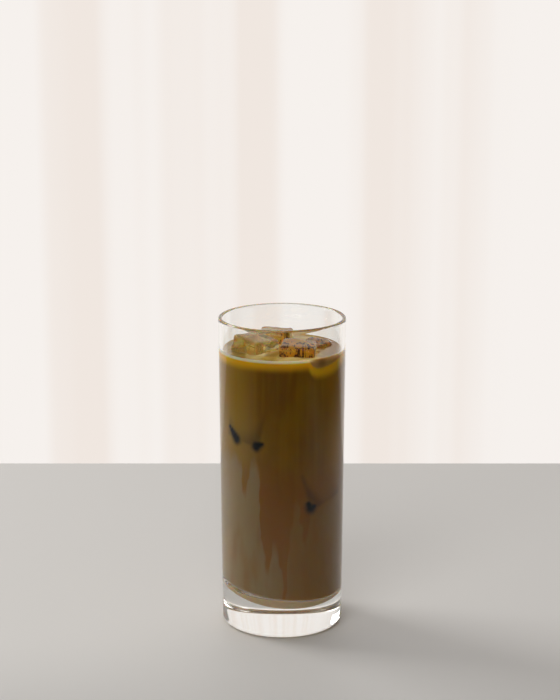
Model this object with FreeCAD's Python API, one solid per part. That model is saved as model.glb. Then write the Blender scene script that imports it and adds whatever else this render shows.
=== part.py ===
import FreeCAD, Part
import math
import os

os.makedirs("parts", exist_ok=True)

# Iced latte in a tall, nearly straight-sided glass. Millimetres, +Z up, origin at the centre of the foot.
# The front of the drink faces -Y. Every piece is one solid and one STEP file.

V = FreeCAD.Vector

# Glass
GLASS_HEIGHT = 160.0
RIM_DIAMETER = 64.0  # outside
FOOT_DIAMETER = 61.4  # outside, before the heel is rounded
WALL = 1.9
LIP_ROUND = 0.85  # on both edges of the fire-polished lip
HEEL_ROUND = 2.8
FOOT_RING = 4.5  # what is left round the dish underneath, heel included
DISH_DEPTH = 0.8  # shallow dish under the foot

# Bowl-shaped glass floor, poured thick and off centre, so that it is higher on the left than on the right
FLOOR_THICKNESS = 10.2  # at the lowest point of the bowl
FLOOR_RADIUS = 43.0
FLOOR_OFFSET_X = 4.0  # where that lowest point lies
FLOOR_OFFSET_Y = -0.9
FLOOR_CORNER = 3.0  # round between floor and wall

# Drink: a coffee layer over a milkier one, which meet in a leaning wave
LEVEL_BELOW_RIM = 16.0
LAYERS_LEFT = 93.0  # height of the wave at the left wall, at the axis and at the right wall
LAYERS_MIDDLE = 84.0
LAYERS_RIGHT = 73.0
LAYERS_SWING = 2.0  # how far the wave leaves the line between those heights, half way out

# Ice that breaks the surface: size, centre from the axis and above the level, turn about X, Y and Z in degrees
ICE = {
    "ice_front": {"size": (18.0, 16.5, 19.0), "centre": (7.8, -11.9, -3.7), "turn": (4.0, 2.5, -8.0)},
    "ice_left": {"size": (18.0, 18.0, 20.0), "centre": (-14.2, -4.4, -2.8), "turn": (-3.5, 9.3, -44.0)},
    "ice_back": {"size": (17.5, 17.0, 19.0), "centre": (-3.2, 15.6, -3.7), "turn": (-2.0, 2.0, -4.0)},
    "ice_right": {"size": (15.0, 16.5, 18.0), "centre": (16.3, 6.6, -7.0), "turn": (4.0, 1.0, -38.0)},
}
ICE_ROUND = 2.2
ICE_GAP = 0.4  # film of drink kept between two cubes, and between a cube and the wall

# Construction
OVERRUN = 5.0  # how far a cutting solid runs past what it cuts

rim_radius = RIM_DIAMETER / 2
foot_radius = FOOT_DIAMETER / 2
level = GLASS_HEIGHT - LEVEL_BELOW_RIM
top = GLASS_HEIGHT + OVERRUN


def outside_radius(z):
    """The glass's outer radius at a height, on the straight line from foot to rim."""
    return foot_radius + (rim_radius - foot_radius) * z / GLASS_HEIGHT


def turned(edges, axis=V(0, 0, 0)):
    """A solid of revolution about a vertical axis, from a closed outline in the XZ plane."""
    face = Part.Face(Part.Wire(edges))
    return face.revolve(axis, V(0, 0, 1), 360)


def outline(points):
    """Straight edges that join the points (radius, height) and close."""
    corners = [V(r, 0, z) for r, z in points]
    return [Part.LineSegment(a, b).toShape() for a, b in zip(corners, corners[1:] + corners[:1])]


def arc(start, middle, end):
    """An arc through three points."""
    return Part.Arc(start, middle, end).toShape()


def line(start, end):
    return Part.LineSegment(start, end).toShape()


def edges_between(shape, low, high):
    """The edges that lie wholly between two heights."""
    real = [edge for edge in shape.Edges if not edge.Degenerated]
    return [edge for edge in real if edge.BoundBox.ZMin > low and edge.BoundBox.ZMax < high]


def glass_body():
    """The outside of the glass as one full solid, with its heel and the dish under its foot."""
    full = turned(outline([(0, 0), (foot_radius, 0), (rim_radius, GLASS_HEIGHT), (0, GLASS_HEIGHT)]))
    full = full.makeFillet(HEEL_ROUND, edges_between(full, -1, 1))
    dish_reach = foot_radius - FOOT_RING
    dish_radius = (dish_reach**2 + DISH_DEPTH**2) / (2 * DISH_DEPTH)
    dish = Part.makeSphere(dish_radius, V(0, 0, DISH_DEPTH - dish_radius))
    return full.cut(dish)


def inside_cone(gap=0.0):
    """The space inside the wall, kept a gap away from it, from below the floor to above the rim."""
    low = outside_radius(0) - WALL - gap
    high = outside_radius(top) - WALL - gap
    return turned(outline([(0, 0), (low, 0), (high, top), (0, top)]))


def cavity():
    """The space inside the glass: the cone inside the wall, ended by the off-centre bowl of the floor."""
    reach = outside_radius(top) - WALL + math.hypot(FLOOR_OFFSET_X, FLOOR_OFFSET_Y) + 0.5
    axis = V(FLOOR_OFFSET_X, FLOOR_OFFSET_Y, 0)
    centre = FLOOR_THICKNESS + FLOOR_RADIUS

    def on_bowl(r):
        return axis + V(r, 0, centre - math.sqrt(FLOOR_RADIUS**2 - r**2))

    roof_middle = axis + V(0, 0, top)
    roof_edge = axis + V(reach, 0, top)
    bowl = turned(
        [
            arc(on_bowl(0), on_bowl(reach / 2), on_bowl(reach)),
            line(on_bowl(reach), roof_edge),
            line(roof_edge, roof_middle),
            line(roof_middle, on_bowl(0)),
        ],
        axis,
    )
    space = inside_cone().common(bowl)
    corner = edges_between(space, FLOOR_THICKNESS, top - OVERRUN)
    return space.makeFillet(FLOOR_CORNER, corner)


def glass(space):
    """The glass in one piece."""
    hollow = glass_body().cut(space)
    lip = edges_between(hollow, GLASS_HEIGHT - 0.1, GLASS_HEIGHT + 0.1)
    return hollow.makeFillet(LIP_ROUND, lip)


def ice_cube(name, grow=0.0):
    """One rounded cube where it floats, made larger all round by grow."""
    cube = ICE[name]
    x, y, z = [side + 2 * grow for side in cube["size"]]
    box = Part.makeBox(x, y, z, V(-x / 2, -y / 2, -z / 2))
    box = box.makeFillet(ICE_ROUND + grow, box.Edges)
    about_x, about_y, about_z = cube["turn"]
    turn = FreeCAD.Rotation(about_z, about_y, about_x)
    box.Placement = FreeCAD.Placement(V(*cube["centre"]) + V(0, 0, level), turn)
    return box


def floating_ice():
    """The cubes that break the surface. Where two would meet, or one the wall, the later one is melted back."""
    room = inside_cone(ICE_GAP)
    cubes = {}
    for name in ICE:
        piece = ice_cube(name).common(room)
        for earlier in cubes:
            piece = piece.cut(ice_cube(earlier, ICE_GAP))
        cubes[name] = piece
    return cubes


def below_wave():
    """Everything under the surface where the two layers meet, as a block across the glass."""
    half = rim_radius + OVERRUN
    quarter = rim_radius / 2
    heights = [
        (-rim_radius, LAYERS_LEFT),
        (-quarter, (LAYERS_LEFT + LAYERS_MIDDLE) / 2 + LAYERS_SWING),
        (0, LAYERS_MIDDLE),
        (quarter, (LAYERS_MIDDLE + LAYERS_RIGHT) / 2 - LAYERS_SWING),
        (rim_radius, LAYERS_RIGHT),
    ]
    points = [V(x, -half, z) for x, z in heights]
    first, last = points[0], points[-1]
    wave = Part.BSplineCurve()
    wave.interpolate(points)
    left, right = V(-half, -half, first.z), V(half, -half, last.z)
    left_foot, right_foot = V(-half, -half, 0), V(half, -half, 0)
    edges = [
        line(left_foot, left),
        line(left, first),
        wave.toShape(),
        line(last, right),
        line(right, right_foot),
        line(right_foot, left_foot),
    ]
    return Part.Face(Part.Wire(edges)).extrude(V(0, 2 * half, 0))


def drink(space, ice):
    """The two layers, filled to the level and cut round the ice."""
    filled = space.common(Part.makeCylinder(rim_radius, level))
    wave = below_wave()
    coffee = filled.cut(wave)
    milk = filled.common(wave)
    for cube in ice.values():
        coffee = coffee.cut(cube)
    return coffee, milk


def export(name, shape):
    """Writes one solid and says what it holds."""
    solid = shape.Solids[0]
    if len(shape.Solids) != 1 or not solid.isValid():
        raise ValueError(f"{name}: {len(shape.Solids)} solids, valid {solid.isValid()}")
    solid.exportStep(f"parts/{name}.step")
    box = solid.BoundBox
    print(f"{name}: {solid.Volume / 1000:.2f} cm3, z {box.ZMin:.2f} to {box.ZMax:.2f}")


space = cavity()
ice = floating_ice()
coffee_layer, milk_layer = drink(space, ice)

export("glass", glass(space))
export("coffee_layer", coffee_layer)
export("milk_layer", milk_layer)
for name, cube in ice.items():
    export(name, cube)
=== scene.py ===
import math

import bmesh
import bpy
from mathutils import Euler, Matrix, Vector
from mathutils import noise as mathutils_noise


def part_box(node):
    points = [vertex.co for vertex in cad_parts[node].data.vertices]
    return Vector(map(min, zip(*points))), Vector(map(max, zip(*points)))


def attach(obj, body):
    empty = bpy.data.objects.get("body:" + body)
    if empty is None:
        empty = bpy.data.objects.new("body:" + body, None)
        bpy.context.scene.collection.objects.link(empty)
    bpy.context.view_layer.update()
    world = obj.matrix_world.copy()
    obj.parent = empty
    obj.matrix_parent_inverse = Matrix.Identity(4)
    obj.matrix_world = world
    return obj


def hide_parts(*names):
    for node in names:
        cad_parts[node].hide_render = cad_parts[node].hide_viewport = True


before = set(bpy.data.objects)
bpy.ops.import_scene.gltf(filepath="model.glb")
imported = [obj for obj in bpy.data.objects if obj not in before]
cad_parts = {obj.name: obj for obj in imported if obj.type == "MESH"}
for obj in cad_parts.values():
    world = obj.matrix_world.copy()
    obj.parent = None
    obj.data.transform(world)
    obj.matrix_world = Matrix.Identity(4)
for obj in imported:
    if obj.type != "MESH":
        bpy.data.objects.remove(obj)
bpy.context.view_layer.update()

# An iced latte in its glass, in metres, with the front towards -Y. The glass's height and width and the
# drink's level come from the frame. The rest of the sizes are what the frame doesn't state.
MM = 0.001
GLASS_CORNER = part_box("glass")[1]
HEIGHT = GLASS_CORNER.z
RIM_RADIUS = GLASS_CORNER.x
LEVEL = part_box("coffee_layer")[1].z

CLOSE = 0.01 * MM  # two places nearer than this count as one

# Glass
FOOT_RADIUS = 30.7 * MM
WALL = 1.9 * MM
LIP_ROUND = 0.85 * MM
HEEL_ROUND = 2.8 * MM
FOOT_RING = 4.5 * MM
DISH_DEPTH = 0.8 * MM
TURN_STEPS = 144
LIP_ROOM, HEEL_ROOM = 2 * MM, 4 * MM  # of the wall that rows keep clear of, for the rounding of its ends
CORNER_ROOM, CORNER_RISE = 3.2 * MM, 5 * MM  # the same beside and above the corner of the floor

# The glass's bowl-shaped floor, off centre, so that it is higher on the left than on the right
FLOOR_THICKNESS = 10.2 * MM
FLOOR_RADIUS = 43 * MM
FLOOR_OFFSET = Vector((4.0 * MM, -0.9 * MM, 0))
FLOOR_CORNER = 3 * MM
FLAT_FLOOR = 22 * MM  # where the floor is spun level, before it is settled onto the bowl
SETTLE_REACH = 30 * MM  # how far up the wall that settling fades out

# Drink
SKIN = 0.08 * MM  # how far the drink reaches into the glass, so that no air shows between them
MENISCUS_HEIGHT = 0.5 * MM
MENISCUS_WIDTH = 1.0 * MM
MENISCUS_ROWS = [8, 5, 3.5, 2.5, 1.8, 1.2, 0.8, 0.4, 0.15, 0]  # in mm from the wall

# Ice that breaks the surface: size, centre from the axis and above the level, turn about X, Y and Z
ICE = {
    "ice_front": ((18.0, 16.5, 19.0), (7.8, -11.9, -3.7), (4.0, 2.5, -8.0)),
    "ice_left": ((18.0, 18.0, 20.0), (-14.2, -4.4, -2.8), (-3.5, 9.3, -44.0)),
    "ice_back": ((17.5, 17.0, 19.0), (-3.2, 15.6, -3.7), (-2.0, 2.0, -4.0)),
    "ice_right": ((15.0, 16.5, 18.0), (16.3, 6.6, -7.0), (4.0, 1.0, -38.0)),
}
ICE_ROUND = 2.2 * MM
ICE_WEAR = 1 * MM  # how deep the melted hollows in its faces are
HOLLOW_SIZE, DENT_SIZE = 7 * MM, 2.5 * MM  # how wide they are, and the smaller dents in them
ICE_FILM = 0.4 * MM  # drink between the ice and the wall
ICE_CUTS = 15  # rows of vertices across each face
ICE_REACH = 0.08 * MM  # how far the ice reaches into the drink round it

# Ice that hangs in the drink and touches the wall: size, centre from the axis and above the foot, turn
SUNK = {
    "sunk_ice_left": ((18.0, 18.0, 18.0), (-11.2, -14.7, 109.6), (-11.0, 9.7, -41.0)),
    "sunk_ice_right": ((18.6, 18.0, 18.0), (11.2, -13.8, 76.8), (-14.0, -13.4, 53.0)),
}

# Where their corners touch the wall, and painted shade darkens the drink, from one end to the other: degrees
# from the front, height and radius
CONTACTS = [((-57, 107.5, 1.4), (-47.5, 102.3, 2.6)), ((-24.5, 100.5, 2.5), (-19, 101.9, 1.2))]
CONTACTS += [((26, 70.4, 1.5), (28.5, 68.2, 2.6)), ((28.5, 68.2, 2.6), (32, 68.9, 1.4))]
CONTACT_STEPS = 4
CONTACT_EDGE, CONTACT_CORE = 1.8, 0.3  # in radii: where the painted shade of such a place starts, and is full
EDGE_SHADE, EDGE_REACH = 0.4, 2 * MM  # how dark the cubes' edges show along the wall, and how far off

# Height of the milky part of the drink round the glass: degrees from the front, to the right, and mm
MILK_LINE = [(-180, 84), (-120, 90), (-68, 93), (-46, 94), (-42, 90), (-38, 77), (-34, 88), (-28, 94)]
MILK_LINE += [(-24, 88), (-19, 52), (-14, 36), (-9, 50), (-1, 44), (3, 22), (7, 48), (13, 66), (17, 76)]
MILK_LINE += [(21, 50), (26, 66), (36, 68), (52, 70), (72, 77), (120, 80), (180, 84)]

# Colours of the drink at the wall. The paler coffee at the left and at the right is painted light from the
# sides
COFFEE_DARK, COFFEE_LIGHT, COFFEE_LIT_LEFT, COFFEE_LIT_RIGHT = "#966904", "#A67C0E", "#B48E2C", "#C08E10"
COFFEE_THREAD, COFFEE_STREAK = "#B48A16", "#A26A02"
# The paler, greyer milk at the left is partly the milk's own colour and partly painted light from the left
MILK_LEFT, MILK_RIGHT = "#AF9566", "#A47A2C"
# Painted light at the level: a gold glow under the surface and a pale highlight line above it; the film
# against ice, partly its own colour and partly painted light through the ice; painted shade at a cube's
# corner
GOLD_GLOW, PALE_HIGHLIGHT, AGAINST_ICE, CORNER_SHADE = "#FFCC18", "#FFF0D8", "#C49C58", "#94713C"
# Painted shade where sunk ice touches the wall: the dark inside the ice, where little light reaches
SHADE_BEHIND_ICE = "#060503"
# Painted light: the drink's underside, paler as if lit through the glass's foot
UNDER_DARK, UNDER_LIGHT = "#F0CC96", "#FADCAC"

# Colours of its top, of the pockets that the ice lies in, and of the ice
# The last of these is a painted highlight along the meniscus in front
SURFACE_DARK, SURFACE_LIGHT, SURFACE_RIGHT, MENISCUS_HIGHLIGHT = "#C0942C", "#DDB850", "#96703A", "#DEC898"
POCKET_DARK, POCKET_LIGHT, POCKET_LEFT = "#5C3A06", "#FFCE3C", "#FFE8B0"
ICE_STAINED, ICE_CLEAR = "#F8DF94", "#FEF1C4"

# Stage
# The second is painted shade, to the floor's sides and in front
FLOOR_COLOUR, FLOOR_SHADE = "#DAD9D7", "#383634"
CURTAIN, CURTAIN_FOLD = "#F6F1ED", "#F0E7E0"
WORLD_FRONT, WORLD_BACK = "#62605E", "#EFECE8"
LAMP = "#FFFDFA"


# ---------------------------------------------------------------- helpers


def rgb(hex_colour):
    """Linear red, green, blue and alpha of an sRGB hex colour."""
    parts = [int(hex_colour[i : i + 2], 16) / 255 for i in (1, 3, 5)]
    return [c / 12.92 if c <= 0.04045 else ((c + 0.055) / 1.055) ** 2.4 for c in parts] + [1]


def result(node):
    """The first output that a node shows."""
    return next(output for output in node.outputs if output.enabled)


def add(tree, kind, *inputs, **settings):
    """Adds a node with its settings. The inputs go to the sockets that it shows, in their order: each is a
    value, a socket or another node, which gives its result. None leaves a socket as it is."""
    node = tree.nodes.new("ShaderNode" + kind)
    for key, value in settings.items():
        setattr(node, key, value)
    shown = [socket for socket in node.inputs if socket.enabled]
    for socket, value in zip(shown, inputs):
        if isinstance(value, bpy.types.Node):
            value = result(value)
        if isinstance(value, bpy.types.NodeSocket):
            tree.links.new(value, socket)
        elif value is not None:
            socket.default_value = value
    return node


SOFT = {"interpolation_type": "SMOOTHSTEP"}  # a Map Range that turns softly at both ends
COLOUR = {"data_type": "RGBA"}  # a Mix of two colours


def per_mm(x, y, z):
    """The scale of a pattern whose features are about that many millimetres long each way."""
    return (1 / (x * MM), 1 / (y * MM), 1 / (z * MM))


def new_material(name, **values):
    """An empty material, its tree and its Principled shader, joined to the output."""
    material = bpy.data.materials.new(name)
    material.use_nodes = True
    tree = material.node_tree
    tree.nodes.clear()
    shader = add(tree, "BsdfPrincipled")
    for key, value in values.items():
        shader.inputs[key.replace("_", " ")].default_value = value
    add(tree, "OutputMaterial", shader)
    return material, tree, shader


def piece(name, bm, *materials):
    """Makes an object with smooth faces from a bmesh."""
    mesh = bpy.data.meshes.new(name)
    bm.to_mesh(mesh)
    bm.free()
    made = bpy.data.objects.new(name, mesh)
    bpy.context.scene.collection.objects.link(made)
    for material in materials:
        mesh.materials.append(material)
    mesh.shade_smooth()
    return made


def spun(outline):
    """A surface of revolution about the axis, from (radius, height) points."""
    bm = bmesh.new()
    verts = [bm.verts.new((r, 0, z)) for r, z in outline]
    edges = [bm.edges.new(pair) for pair in zip(verts, verts[1:])]
    turn = {"angle": math.tau, "steps": TURN_STEPS, "use_merge": True}
    bmesh.ops.spin(bm, geom=verts + edges, cent=(0, 0, 0), axis=(0, 0, 1), **turn)
    bmesh.ops.remove_doubles(bm, verts=bm.verts, dist=1e-7)
    bmesh.ops.recalc_face_normals(bm, faces=bm.faces)
    return bm


def round_ring(bm, radius, height, size, segments):
    """Rounds the corner that runs round the axis at that radius and height."""

    def on_ring(v):
        return abs(math.hypot(v.co.x, v.co.y) - radius) < CLOSE and abs(v.co.z - height) < CLOSE

    ring = [e for e in bm.edges if all(on_ring(v) for v in e.verts)]
    rounding = {"offset": size, "offset_type": "OFFSET", "segments": segments, "profile": 0.5}
    bmesh.ops.bevel(bm, geom=ring, affect="EDGES", material=-1, **rounding)


def steps(start, end, count):
    """Evenly spaced values from start to end, both included."""
    return [start + (end - start) * i / count for i in range(count + 1)]


# ---------------------------------------------------------------- the glass's form


def outside_radius(z):
    return FOOT_RADIUS + (RIM_RADIUS - FOOT_RADIUS) * z / HEIGHT


def inside_radius(z):
    return outside_radius(z) - WALL


def settle(point, grow):
    """Moves a point of the level-floored inside onto the off-centre bowl. grow is how far outside it lies."""
    rho = math.hypot(point.x, point.y)
    flat, corner = FLAT_FLOOR - grow, FLOOR_CORNER
    wall = inside_radius(flat) + grow
    bowl = FLOOR_RADIUS + grow
    centre = FLOOR_OFFSET + Vector((0, 0, FLOOR_THICKNESS + FLOOR_RADIUS))
    out = Vector((point.x, point.y, 0)).normalized() if rho > 1e-9 else Vector((1, 0, 0))

    def depth(p, radius):
        return centre.z - math.sqrt(radius**2 - (p.x - centre.x) ** 2 - (p.y - centre.y) ** 2)

    ball = out * (wall - corner)
    ball.z = depth(ball, bowl - corner)
    down = (ball - centre).normalized()
    foot = ball + down * corner
    if rho <= wall - corner + CLOSE and point.z < flat + CLOSE:
        share = rho / (wall - corner)
        placed = Vector((foot.x * share, foot.y * share, 0))
        placed.z = depth(placed, bowl)
        return placed
    if point.z < flat + corner:
        angle = math.atan2(rho - wall + corner, flat + corner - point.z)
        return ball + down.slerp(out, min(1, angle / (math.pi / 2))) * corner
    rise = ball.z - flat - corner
    reach = max(0, 1 - (point.z - flat - corner) / SETTLE_REACH)
    return Vector((point.x, point.y, point.z + rise * reach))


def glass_mesh():
    dish_reach = FOOT_RADIUS - FOOT_RING
    outline = [(r, DISH_DEPTH * (1 - (r / dish_reach) ** 2)) for r in steps(0, dish_reach, 8)]
    outline += [(FOOT_RADIUS, 0)]
    outline += [(outside_radius(z), z) for z in steps(HEEL_ROOM, HEIGHT - LIP_ROOM, 12)]
    outline += [(RIM_RADIUS, HEIGHT), (RIM_RADIUS - WALL, HEIGHT)]
    outline += [(inside_radius(z), z) for z in steps(HEIGHT - LIP_ROOM, FLAT_FLOOR + CORNER_RISE, 14)]
    floor_edge = inside_radius(FLAT_FLOOR)
    outline += [(floor_edge, FLAT_FLOOR)]
    outline += [(r, FLAT_FLOOR) for r in steps(floor_edge - CORNER_ROOM, 0, 10)]
    bm = spun(outline)
    round_ring(bm, FOOT_RADIUS, 0, HEEL_ROUND, 6)
    round_ring(bm, RIM_RADIUS, HEIGHT, LIP_ROUND, 5)
    round_ring(bm, RIM_RADIUS - WALL, HEIGHT, LIP_ROUND, 5)
    round_ring(bm, floor_edge, FLAT_FLOOR, FLOOR_CORNER, 8)
    for v in bm.verts:
        inside = math.hypot(v.co.x, v.co.y) < outside_radius(v.co.z) - WALL / 2
        if inside and v.co.z > FLAT_FLOOR - MM:
            v.co = settle(v.co, 0)
    return bm


SURFACE, POCKET = 1, 2  # slots of the drink's materials. Slot 0 is where it lies against the glass


def drink_mesh():
    outline = [(0, LEVEL)]
    wall = inside_radius(LEVEL) + SKIN
    for distance in MENISCUS_ROWS:
        rise = MENISCUS_HEIGHT * math.exp(-distance * MM / MENISCUS_WIDTH)
        outline.append((wall - distance * MM, LEVEL + rise))
    outline += [(inside_radius(z) + SKIN, z) for z in steps(LEVEL - 2 * MM, FLAT_FLOOR + CORNER_RISE, 40)]
    floor_edge = inside_radius(FLAT_FLOOR - SKIN) + SKIN
    outline += [(floor_edge, FLAT_FLOOR - SKIN)]
    outline += [(r, FLAT_FLOOR - SKIN) for r in steps(floor_edge - CORNER_ROOM, 0, 10)]
    bm = spun(outline)
    round_ring(bm, floor_edge, FLAT_FLOOR - SKIN, FLOOR_CORNER, 8)
    for v in bm.verts:
        v.co = settle(v.co, SKIN)
    bm.normal_update()
    for face in bm.faces:
        if face.normal.z > 0.2:
            face.material_index = SURFACE
    return bm


def placement(entry, height):
    """Where a cube lies, as a matrix."""
    size, centre, turn = entry
    place = Matrix.Translation(Vector(centre) * MM + Vector((0, 0, height)))
    return place @ Euler([math.radians(a) for a in turn], "XYZ").to_matrix().to_4x4()


def ice_mesh(entry, height, grow=0.0):
    """A cube with rounded edges and melted hollows in its faces. grow moves its faces out."""
    half = Vector(entry[0]) * MM / 2
    bm = bmesh.new()
    bmesh.ops.create_cube(bm, size=2)
    bmesh.ops.subdivide_edges(bm, edges=bm.edges, cuts=ICE_CUTS, use_grid_fill=True)
    core = half - Vector((1, 1, 1)) * ICE_ROUND
    for v in bm.verts:
        # Rows of vertices are drawn towards the edges, where the rounding needs them
        eased = [math.copysign(math.sin(abs(c) * math.pi / 2) ** 0.75, c) * h for c, h in zip(v.co, half)]
        held = Vector([max(-c, min(c, e)) for e, c in zip(eased, core)])
        out = (Vector(eased) - held).normalized()
        place = held + out * ICE_ROUND
        wear = max(0, mathutils_noise.noise(place / HOLLOW_SIZE + Vector(entry[1]))) + 0.25
        wear += 0.3 * mathutils_noise.noise(place / DENT_SIZE + Vector(entry[1]))
        v.co = place - out * (ICE_WEAR * max(0, wear) - grow)
    bmesh.ops.recalc_face_normals(bm, faces=bm.faces)
    bmesh.ops.transform(bm, matrix=placement(entry, height), verts=bm.verts)
    for v in bm.verts:
        # What would reach into the wall has melted back from it
        most = inside_radius(v.co.z) - ICE_FILM + grow
        v.co.xy *= min(1, most / v.co.xy.length)
    return bm


# ---------------------------------------------------------------- materials


def clear_glass():
    """Soda-lime glass, pressed and fire-polished: clear and smooth, with a trace of green. It reflects a
    little less than real glass, to suit the plain stage round it."""
    values = {"Roughness": 0, "IOR": 1.52, "Transmission_Weight": 1, "Specular_IOR_Level": 0.35}
    return new_material("soda_lime_glass", Base_Color=rgb("#FEFFFE"), **values)[0]


def ice_material():
    """Ice from tap water, wet with coffee: clear, stained gold, with a little cloud in it. It reflects
    less than real ice, as the glass does."""
    values = {"Roughness": 0, "IOR": 1.31, "Transmission_Weight": 1, "Specular_IOR_Level": 0.15}
    material, tree, shader = new_material("wet_ice", **values)
    place = add(tree, "TexCoord").outputs["Object"]
    cloud = add(tree, "TexNoise", add(tree, "Mapping", place, None, None, per_mm(5, 5, 5)), 1.0, 4.0)
    cloudy = add(tree, "MapRange", cloud, 0.35, 0.65, **SOFT)
    colour = add(tree, "Mix", cloudy, rgb(ICE_STAINED), rgb(ICE_CLEAR), **COLOUR)
    tree.links.new(result(colour), shader.inputs["Base Color"])
    return material


# Light goes a few millimetres into milky coffee, red the furthest; less where the drink is thin
SCATTER = {"Subsurface_Weight": 1, "Subsurface_Radius": (1.0, 0.55, 0.18), "Subsurface_Scale": 5 * MM}
THIN_SCATTER = {**SCATTER, "Subsurface_Scale": 2 * MM}

# How far the streaks wander round the glass, and how uneven the milk's line and the spots of painted shade at
# ice are
WANDER = math.radians(16)
MILK_UNEVEN, SPOT_UNEVEN = 10 * MM, 2 * MM

# Where one colour of the drink turns to another: left and right of the axis, and up from the foot. The turns
# to paler coffee at the left and right are painted light
COFFEE_TO_LEFT = (-9 * MM, -22 * MM)
COFFEE_TO_RIGHT = (17 * MM, 27 * MM)
COFFEE_TO_STREAK = (100 * MM, 70 * MM)
MILK_TO_RIGHT = (-9 * MM, 8 * MM)
COFFEE_TO_MILK = (-3 * MM, 7 * MM)  # of the height below the milk's line
# Where the painted gold glow, the film against ice and the painted highlight line start
COFFEE_TO_GOLD = (LEVEL - 6.5 * MM, LEVEL - 1.5 * MM)
GOLD_TO_ICE = (LEVEL, LEVEL + 1.5 * MM)
GOLD_TO_PALE = (LEVEL - 1.2 * MM, LEVEL - 0.4 * MM)

# On the right the painted gold glow lies lower, under ice that touches the wall. Turn from the front, in
# radians
GOLD_SINKS = (0.4, 0.62)
GOLD_RISES = (1.6, 0.7)
GOLD_DROP = 5 * MM
# Painted shade where a cube's corner touches the wall under the level
CORNER_AT_WALL, CORNER_REACH = Vector((18.9, -23.3, 142.5)) * MM, 4.5 * MM

MIRROR_IOR = 0.91  # sets the angle past which the wall mirrors

# Under the drink
UNDER_EDGE = (28.1 * MM, 26.9 * MM)  # from the lowest point of the floor
UNDER_TOP = (34 * MM, 30 * MM)  # above the foot
UNDER_WALL = inside_radius(25 * MM)
OFF_WALL = (UNDER_WALL - 0.3 * MM, UNDER_WALL - 0.8 * MM)
# The bright line is partly a real mirror and partly a painted highlight: a white mirror ring put where the
# glass's rounded corner shows a bright line
BRIGHT_LINE = (UNDER_WALL - 1.6 * MM, UNDER_WALL - 1.0 * MM)
BRIGHT_LINE_SHARE = 0.7

# The drink's top
SURFACE_TO_RIGHT = (15 * MM, 25 * MM)
# Where the painted highlight along the meniscus lies: near the wall, and in front
MENISCUS_HIGHLIGHT_EDGE = (inside_radius(LEVEL) - 1.4 * MM, inside_radius(LEVEL) - 0.3 * MM)
MENISCUS_HIGHLIGHT_FRONT = (-6 * MM, -22 * MM)

# The pockets round the ice. Their dark lines follow one value of a noise
POCKET_TO_RIGHT = (-6 * MM, 4 * MM)
POCKET_SIDES = (LEVEL - 12 * MM, LEVEL - 8 * MM)
LINE_VALUE, LINE_WIDTH, LINE_EXTRA = 0.46, (0.025, -0.015), 0.03

# Where painted shade darkens the floor, in metres beside the glass and in front of it
FLOOR_FADES_ASIDE, FLOOR_FADES_AHEAD = (0.21, 0.5), (-0.02, -0.4)


def coffee_colour(tree, place, x, z):
    """Brown coffee with clouds and fine threads, painted paler to both sides as light from the sides, that
    gets redder in its streaks.
    """
    clouds = add(tree, "Mapping", place, (3, 3, 3), None, per_mm(16, 16, 30))
    clouds = add(tree, "TexNoise", clouds, 1.0, 3.0)
    cloudy = add(tree, "MapRange", clouds, 0.35, 0.7, **SOFT)
    coffee = add(tree, "Mix", cloudy, rgb(COFFEE_DARK), rgb(COFFEE_LIGHT), **COLOUR)
    # Painted light from the left and from the right
    left = add(tree, "MapRange", x, *COFFEE_TO_LEFT, **SOFT)
    coffee = add(tree, "Mix", left, coffee, rgb(COFFEE_LIT_LEFT), **COLOUR)
    right = add(tree, "MapRange", x, *COFFEE_TO_RIGHT, **SOFT)
    coffee = add(tree, "Mix", right, coffee, rgb(COFFEE_LIT_RIGHT), **COLOUR)

    threads = add(tree, "Mapping", place, (11, 11, 11), None, per_mm(3.5, 3.5, 60))
    threads = add(tree, "TexNoise", threads, 1.0, 2.0)
    threads = add(tree, "MapRange", threads, 0.45, 0.75, 0, 0.5, **SOFT)
    coffee = add(tree, "Mix", threads, coffee, rgb(COFFEE_THREAD), **COLOUR)
    column = add(tree, "MapRange", z, *COFFEE_TO_STREAK, **SOFT)
    return add(tree, "Mix", column, coffee, rgb(COFFEE_STREAK), **COLOUR)


def milk_colour(tree, place, x, coffee):
    """Milkier drink, greyer and paler on the left, partly its own colour and partly painted light from the
    left, with wisps of coffee in it.
    """
    right = add(tree, "MapRange", x, *MILK_TO_RIGHT, **SOFT)
    milk = add(tree, "Mix", right, rgb(MILK_LEFT), rgb(MILK_RIGHT), **COLOUR)
    wisps = add(tree, "TexNoise", add(tree, "Mapping", place, (5, 5, 5), None, per_mm(7, 7, 30)), 1.0, 3.0)
    wisps = add(tree, "MapRange", wisps, 0.45, 0.75, 0, 0.45, **SOFT)
    return add(tree, "Mix", wisps, milk, coffee, **COLOUR)


def milk_share(tree, bent, lift, z):
    """1 where the drink at the wall is milky, 0 above the line round the glass where that ends."""
    line = add(tree, "FloatCurve", None, add(tree, "Math", bent, 1 / math.tau, 0.5, operation="MULTIPLY_ADD"))
    curve = line.mapping.curves[0]
    curve.points[0].location = (0, MILK_LINE[0][1] * MM / HEIGHT)
    curve.points[1].location = (1, MILK_LINE[-1][1] * MM / HEIGHT)
    for degrees, top in MILK_LINE[1:-1]:
        curve.points.new(degrees / 360 + 0.5, top * MM / HEIGHT)
    line.mapping.update()
    top = add(tree, "Math", line, HEIGHT, operation="MULTIPLY")
    height = add(tree, "Math", lift, MILK_UNEVEN, z, operation="MULTIPLY_ADD")
    below = add(tree, "Math", top, height, operation="SUBTRACT")
    return add(tree, "MapRange", below, *COFFEE_TO_MILK, **SOFT)


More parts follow.
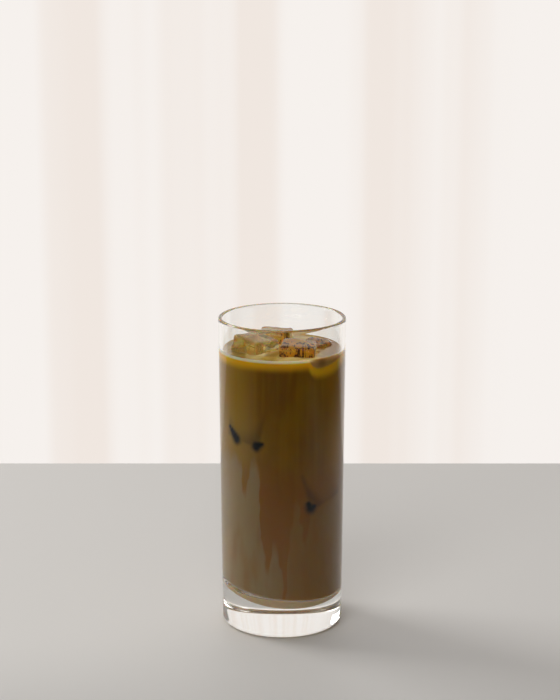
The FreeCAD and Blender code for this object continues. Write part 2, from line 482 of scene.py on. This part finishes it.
def painted_light_at_level(tree, place, turn, bent, z, colour):
    """Painted light at the level: a gold glow just under the surface, with a painted highlight line above it,
    on the right the film against ice, partly its own colour and partly painted light through the ice, and
    painted shade at a cube's corner.
    """
    sinks = add(tree, "MapRange", bent, *GOLD_SINKS, **SOFT)
    rises = add(tree, "MapRange", turn, *GOLD_RISES, **SOFT)
    right = add(tree, "Math", sinks, rises, operation="MULTIPLY")
    raised = add(tree, "Math", right, GOLD_DROP, z, operation="MULTIPLY_ADD")
    gold = add(tree, "MapRange", raised, *COFFEE_TO_GOLD, **SOFT)
    colour = add(tree, "Mix", gold, colour, rgb(GOLD_GLOW), **COLOUR)
    film = add(tree, "MapRange", raised, *GOLD_TO_ICE, **SOFT)
    colour = add(tree, "Mix", film, colour, rgb(AGAINST_ICE), **COLOUR)

    not_right = add(tree, "Math", 1.0, right, operation="SUBTRACT")
    pale = add(tree, "MapRange", z, *GOLD_TO_PALE, **SOFT)
    pale = add(tree, "Math", pale, not_right, operation="MULTIPLY")
    colour = add(tree, "Mix", pale, colour, rgb(PALE_HIGHLIGHT), **COLOUR)
    corner = add(tree, "VectorMath", place, CORNER_AT_WALL, operation="DISTANCE")
    shade = add(tree, "MapRange", corner, CORNER_REACH, 0, **SOFT)
    return add(tree, "Mix", shade, colour, rgb(CORNER_SHADE), **COLOUR)


def painted_shade_at_ice(tree, place, lift):
    """How much painted shade shows where sunk ice comes near the wall, most where a corner touches: the dark
    inside the ice, where little light reaches.
    """
    dark = 0.0
    for size, centre, turn in SUNK.values():
        turn = [math.radians(a) for a in turn]
        local = add(tree, "Mapping", place, Vector(centre) * MM, turn, vector_type="TEXTURE")
        beyond = add(tree, "VectorMath", local, operation="ABSOLUTE")
        beyond = add(tree, "VectorMath", beyond, Vector(size) * MM / 2, operation="SUBTRACT")
        beyond = add(tree, "VectorMath", beyond, (0, 0, 0), operation="MAXIMUM")
        beyond = add(tree, "VectorMath", beyond, operation="LENGTH")
        near = add(tree, "MapRange", beyond, EDGE_REACH, 0, **SOFT)
        dark = add(tree, "Math", near, EDGE_SHADE, dark, operation="MULTIPLY_ADD")
    for start, end in CONTACTS:
        for i in range(CONTACT_STEPS + 1):
            degrees, height, size = Vector(start).lerp(Vector(end), i / CONTACT_STEPS)
            angle = math.radians(degrees)
            at = Vector((math.sin(angle), -math.cos(angle), 0)) * inside_radius(height * MM)
            at.z = height * MM
            distance = add(tree, "VectorMath", place, at, operation="DISTANCE")
            uneven = add(tree, "Math", lift, SPOT_UNEVEN, distance, operation="MULTIPLY_ADD")
            radius = size * MM
            spot = add(tree, "MapRange", uneven, CONTACT_EDGE * radius, CONTACT_CORE * radius, **SOFT)
            dark = add(tree, "Math", dark, spot, operation="MAXIMUM")
    return dark


def underside(tree, place, z):
    """How much a point lies under the drink, where it is painted as lit, and in the bright line round its
    edge there, a painted highlight.
    """
    flat = add(tree, "VectorMath", place, (1, 1, 0), operation="MULTIPLY")
    from_wall = add(tree, "VectorMath", flat, operation="LENGTH")
    flat = add(tree, "VectorMath", place, FLOOR_OFFSET, operation="SUBTRACT")
    flat = add(tree, "VectorMath", flat, (1, 1, 0), operation="MULTIPLY")
    from_middle = add(tree, "VectorMath", flat, operation="LENGTH")
    low = add(tree, "MapRange", z, *UNDER_TOP, **SOFT)
    off_wall = add(tree, "MapRange", from_wall, *OFF_WALL, **SOFT)
    low_off_wall = add(tree, "Math", off_wall, low, operation="MULTIPLY")
    middle = add(tree, "MapRange", from_middle, *UNDER_EDGE, **SOFT)
    under = add(tree, "Math", middle, low_off_wall, operation="MULTIPLY")
    line = add(tree, "MapRange", from_wall, *BRIGHT_LINE, 0, BRIGHT_LINE_SHARE, **SOFT)
    return under, add(tree, "Math", line, low_off_wall, operation="MULTIPLY")


def coffee_with_milk():
    """Coffee over milk where it touches the wall: a painted gold glow at the top, brown below, beige where
    milk lies.
    """
    material, tree, shader = new_material("coffee_with_milk", Roughness=0, Specular_IOR_Level=0, **SCATTER)
    place = add(tree, "TexCoord").outputs["Object"]
    x, y, z = add(tree, "SeparateXYZ", place).outputs

    # Turn from the front, to the right, bent a little so that the streaks wander, and an uneven lift
    turn = add(tree, "Math", x, add(tree, "Math", y, -1.0, operation="MULTIPLY"), operation="ARCTAN2")
    sway = add(tree, "TexNoise", add(tree, "Mapping", place, None, None, per_mm(9, 9, 22)), 1.0, 3.0)
    sway = add(tree, "Math", sway, 0.5, operation="SUBTRACT")
    bent = add(tree, "Math", sway, WANDER, turn, operation="MULTIPLY_ADD")
    lift = add(tree, "TexNoise", add(tree, "Mapping", place, (7, 7, 7), None, per_mm(4, 4, 14)), 1.0, 3.0)
    lift = add(tree, "Math", lift, 0.5, operation="SUBTRACT")

    coffee = coffee_colour(tree, place, x, z)
    milk = milk_colour(tree, place, x, coffee)
    colour = add(tree, "Mix", milk_share(tree, bent, lift, z), coffee, milk, **COLOUR)
    # Painted light and shade at the level
    colour = painted_light_at_level(tree, place, turn, bent, z, colour)
    # Painted shade where sunk ice comes near the wall
    colour = add(tree, "Mix", painted_shade_at_ice(tree, place, lift), colour, rgb(SHADE_BEHIND_ICE), **COLOUR)

    # Underneath, but for the steep part at the left, the drink is painted paler, as light through the clear
    # glass below it
    under, bright_line = underside(tree, place, z)
    swirl = add(tree, "TexNoise", add(tree, "Mapping", place, (4, 4, 4), None, per_mm(12, 12, 12)), 1.0, 2.0)
    swirl = add(tree, "MapRange", swirl, 0.3, 0.7, **SOFT)
    lit_underside = add(tree, "Mix", swirl, rgb(UNDER_DARK), rgb(UNDER_LIGHT), **COLOUR)
    colour = add(tree, "Mix", under, colour, lit_underside, **COLOUR)

    # Past the angle where the glass reflects all light off the drink, the wall is a mirror
    not_under = add(tree, "Math", 1.0, under, operation="SUBTRACT")
    mirror = add(tree, "Math", add(tree, "Fresnel", MIRROR_IOR), not_under, operation="MULTIPLY")
    # The bright line joins the mirror: a white mirror ring, painted in as a highlight
    mirror = add(tree, "Math", mirror, bright_line, operation="MAXIMUM")
    colour = add(tree, "Mix", mirror, colour, (1, 1, 1, 1), **COLOUR)
    tree.links.new(result(colour), shader.inputs["Base Color"])
    tree.links.new(result(mirror), shader.inputs["Metallic"])
    return material


def drink_surface():
    """The wet top of the drink, browner at the right, with a painted highlight along the meniscus at the wall
    in front.
    """
    values = {"Roughness": 0.03, "Specular_IOR_Level": 0.25, **THIN_SCATTER}
    material, tree, shader = new_material("drink_surface", **values)
    place = add(tree, "TexCoord").outputs["Object"]
    x, y, _ = add(tree, "SeparateXYZ", place).outputs
    swirl = add(tree, "TexNoise", add(tree, "Mapping", place, None, None, per_mm(6, 6, 6)), 1.0, 4.0)
    swirl = add(tree, "MapRange", swirl, 0.35, 0.7, **SOFT)
    colour = add(tree, "Mix", swirl, rgb(SURFACE_DARK), rgb(SURFACE_LIGHT), **COLOUR)
    right = add(tree, "MapRange", x, *SURFACE_TO_RIGHT, **SOFT)
    colour = add(tree, "Mix", right, colour, rgb(SURFACE_RIGHT), **COLOUR)

    flat = add(tree, "VectorMath", place, (1, 1, 0), operation="MULTIPLY")
    from_axis = add(tree, "VectorMath", flat, operation="LENGTH")
    # A painted highlight along the meniscus in front
    highlight = add(tree, "MapRange", from_axis, *MENISCUS_HIGHLIGHT_EDGE, **SOFT)
    front = add(tree, "MapRange", y, *MENISCUS_HIGHLIGHT_FRONT, **SOFT)
    highlight = add(tree, "Math", highlight, front, operation="MULTIPLY")
    colour = add(tree, "Mix", highlight, colour, rgb(MENISCUS_HIGHLIGHT), **COLOUR)
    tree.links.new(result(colour), shader.inputs["Base Color"])
    return material


def drink_round_ice():
    """Drink that lies against ice: thin, so light comes through and turns it gold, with dark lines."""
    values = {"Roughness": 0.4, "Specular_IOR_Level": 0, **THIN_SCATTER}
    material, tree, shader = new_material("drink_round_ice", **values)
    place = add(tree, "TexCoord").outputs["Object"]
    x, _, z = add(tree, "SeparateXYZ", place).outputs
    right = add(tree, "MapRange", x, *POCKET_TO_RIGHT, **SOFT)
    gold = add(tree, "Mix", right, rgb(POCKET_LEFT), rgb(POCKET_LIGHT), **COLOUR)

    # The lines are wider on the right, and keep to the pocket's sides
    swirl = add(tree, "TexNoise", add(tree, "Mapping", place, (2, 2, 2), None, per_mm(1.8, 1.8, 5)), 1.0, 4.0)
    off_line = add(tree, "Math", swirl, LINE_VALUE, operation="SUBTRACT")
    off_line = add(tree, "Math", off_line, operation="ABSOLUTE")
    off_line = add(tree, "Math", right, -LINE_EXTRA, off_line, operation="MULTIPLY_ADD")
    dark = add(tree, "MapRange", off_line, *LINE_WIDTH, **SOFT)
    sides = add(tree, "MapRange", z, *POCKET_SIDES, **SOFT)
    dark = add(tree, "Math", dark, sides, operation="MULTIPLY")
    colour = add(tree, "Mix", dark, gold, rgb(POCKET_DARK), **COLOUR)
    tree.links.new(result(colour), shader.inputs["Base Color"])
    return material


def pale_floor():
    """A matt, pale table, with painted shade that darkens it to the sides and in front, where only the glass
    would reflect it.
    """
    material, tree, shader = new_material("pale_floor", Roughness=0.55)
    place = add(tree, "TexCoord").outputs["Object"]
    x, y, _ = add(tree, "SeparateXYZ", place).outputs
    aside = add(tree, "Math", x, operation="ABSOLUTE")
    aside = add(tree, "MapRange", aside, *FLOOR_FADES_ASIDE, **SOFT)
    ahead = add(tree, "MapRange", y, *FLOOR_FADES_AHEAD, **SOFT)
    away = add(tree, "Math", ahead, aside, operation="MAXIMUM")
    colour = add(tree, "Mix", away, rgb(FLOOR_COLOUR), rgb(FLOOR_SHADE), **COLOUR)
    tree.links.new(result(colour), shader.inputs["Base Color"])
    return material


def sunlit_curtain():
    """A thin pale curtain with daylight behind it, so that it glows, a little less in its soft folds."""
    glow = {"Base_Color": (0, 0, 0, 1), "Specular_IOR_Level": 0, "Emission_Strength": 1}
    material, tree, shader = new_material("sunlit_curtain", **glow)
    place = add(tree, "TexCoord").outputs["Object"]
    folds = add(tree, "Mapping", place, (3, 3, 3), None, per_mm(120, 1000, 30000))
    folds = add(tree, "TexNoise", folds, 1.0, 2.0)
    folds = add(tree, "MapRange", folds, 0.35, 0.6, **SOFT)
    colour = add(tree, "Mix", folds, rgb(CURTAIN_FOLD), rgb(CURTAIN), **COLOUR)
    tree.links.new(result(colour), shader.inputs["Emission Color"])
    return material


# ---------------------------------------------------------------- pieces


def carve_pockets(drink, cubes):
    """Cuts the pockets that the cubes lie in out of the drink."""
    cutters = []
    for name, where in cubes.items():
        cutter = piece(name + "_cutter", ice_mesh(*where, -ICE_REACH))
        for polygon in cutter.data.polygons:
            polygon.material_index = POCKET
        cut = drink.modifiers.new(name, "BOOLEAN")
        cut.operation = "DIFFERENCE"
        cut.solver = "EXACT"
        cut.object = cutter
        cutters.append(cutter)
    carved = bpy.data.meshes.new_from_object(drink.evaluated_get(bpy.context.evaluated_depsgraph_get()))
    drink.modifiers.clear()
    drink.data = carved
    for cutter in cutters:
        bpy.data.objects.remove(cutter)


glass = piece("glass_body", glass_mesh(), clear_glass())
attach(glass, "root")
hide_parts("glass")

cubes = {name: (entry, LEVEL) for name, entry in ICE.items()}
cubes.update({name: (entry, 0) for name, entry in SUNK.items()})
drink = piece("drink", drink_mesh(), coffee_with_milk(), drink_surface(), drink_round_ice())
carve_pockets(drink, cubes)
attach(drink, "root")
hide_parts("coffee_layer", "milk_layer")

ice = ice_material()
for name, where in cubes.items():
    cube = piece(name + "_cube", ice_mesh(*where), ice)
    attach(cube, "root")
    if name in ICE:
        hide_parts(name)

# ---------------------------------------------------------------- stage, light and camera

STAGE_HALF = (4, 2, 1)  # half the size of the floor and of the backdrop
FLOOR_BACK = 0.268  # where the floor ends behind the glass
FLOOR_DROP = 0.3 * MM  # air between the glass's foot and the floor
BACKDROP_PLACE = (0, 2.4, 1.2)
BRIGHT_SIDE = (-0.35, 0.9, 0)  # of the surroundings: behind, and a little to the left
AIM = Vector((0, 0, 0.05))  # of the lamps

CAMERA_PLACE = (-0.00104, -0.9222, 0.3701)
CAMERA_DIP = 13.855  # degrees below level
CAMERA_LENS, CAMERA_SENSOR = 97.29, 36
BOUNCES = 24  # through the glass, the ice and the drink's pockets
GLOSSY_BOUNCES = 12

scene = bpy.context.scene


def stage_plane(name, tilt, place, material):
    """A large flat sheet, tilted about X and moved to its place."""
    bm = bmesh.new()
    bmesh.ops.create_grid(bm, x_segments=1, y_segments=1, size=1)
    bmesh.ops.scale(bm, vec=STAGE_HALF, verts=bm.verts)
    bmesh.ops.rotate(bm, matrix=Matrix.Rotation(math.radians(tilt), 3, "X"), verts=bm.verts)
    bmesh.ops.translate(bm, vec=place, verts=bm.verts)
    return piece(name, bm, material)


def soft_light(name, place, size, power):
    """A square area light aimed at the glass."""
    data = bpy.data.lights.new(name, "AREA")
    data.size = size
    data.energy = power
    data.color = rgb(LAMP)[:3]
    lamp = bpy.data.objects.new(name, data)
    lamp.location = place
    lamp.rotation_euler = (AIM - lamp.location).to_track_quat("-Z", "Y").to_euler()
    scene.collection.objects.link(lamp)


def surroundings():
    """A world that is bright behind the glass and dim in front of it."""
    world = bpy.data.worlds.new("studio")
    world.use_nodes = True
    tree = world.node_tree
    direction = add(tree, "TexCoord").outputs["Generated"]
    towards = add(tree, "VectorMath", direction, BRIGHT_SIDE, operation="DOT_PRODUCT")
    bright = add(tree, "MapRange", towards, -0.2, 1.0, **SOFT)
    sky = add(tree, "Mix", bright, rgb(WORLD_FRONT), rgb(WORLD_BACK), **COLOUR)
    tree.links.new(result(sky), tree.nodes["Background"].inputs["Color"])
    return world


floor = stage_plane("floor", 0, (0, FLOOR_BACK - STAGE_HALF[1], -FLOOR_DROP), pale_floor())
backdrop = stage_plane("backdrop", 90, BACKDROP_PLACE, sunlit_curtain())
scene.world = surroundings()
scene.view_settings.view_transform = "Standard"

soft_light("key", (-1.5, 0.8, 1.15), 0.9, 18)
soft_light("fill", (-0.4, -1.3, 1.3), 1.2, 12)

camera_data = bpy.data.cameras.new("camera")
camera_data.sensor_width = CAMERA_SENSOR
camera_data.lens = CAMERA_LENS
camera = bpy.data.objects.new("camera", camera_data)
camera.location = CAMERA_PLACE
camera.rotation_euler = (math.radians(90 - CAMERA_DIP), 0, 0)
scene.collection.objects.link(camera)
scene.camera = camera

scene.cycles.max_bounces = BOUNCES
scene.cycles.transmission_bounces = BOUNCES
scene.cycles.glossy_bounces = GLOSSY_BOUNCES
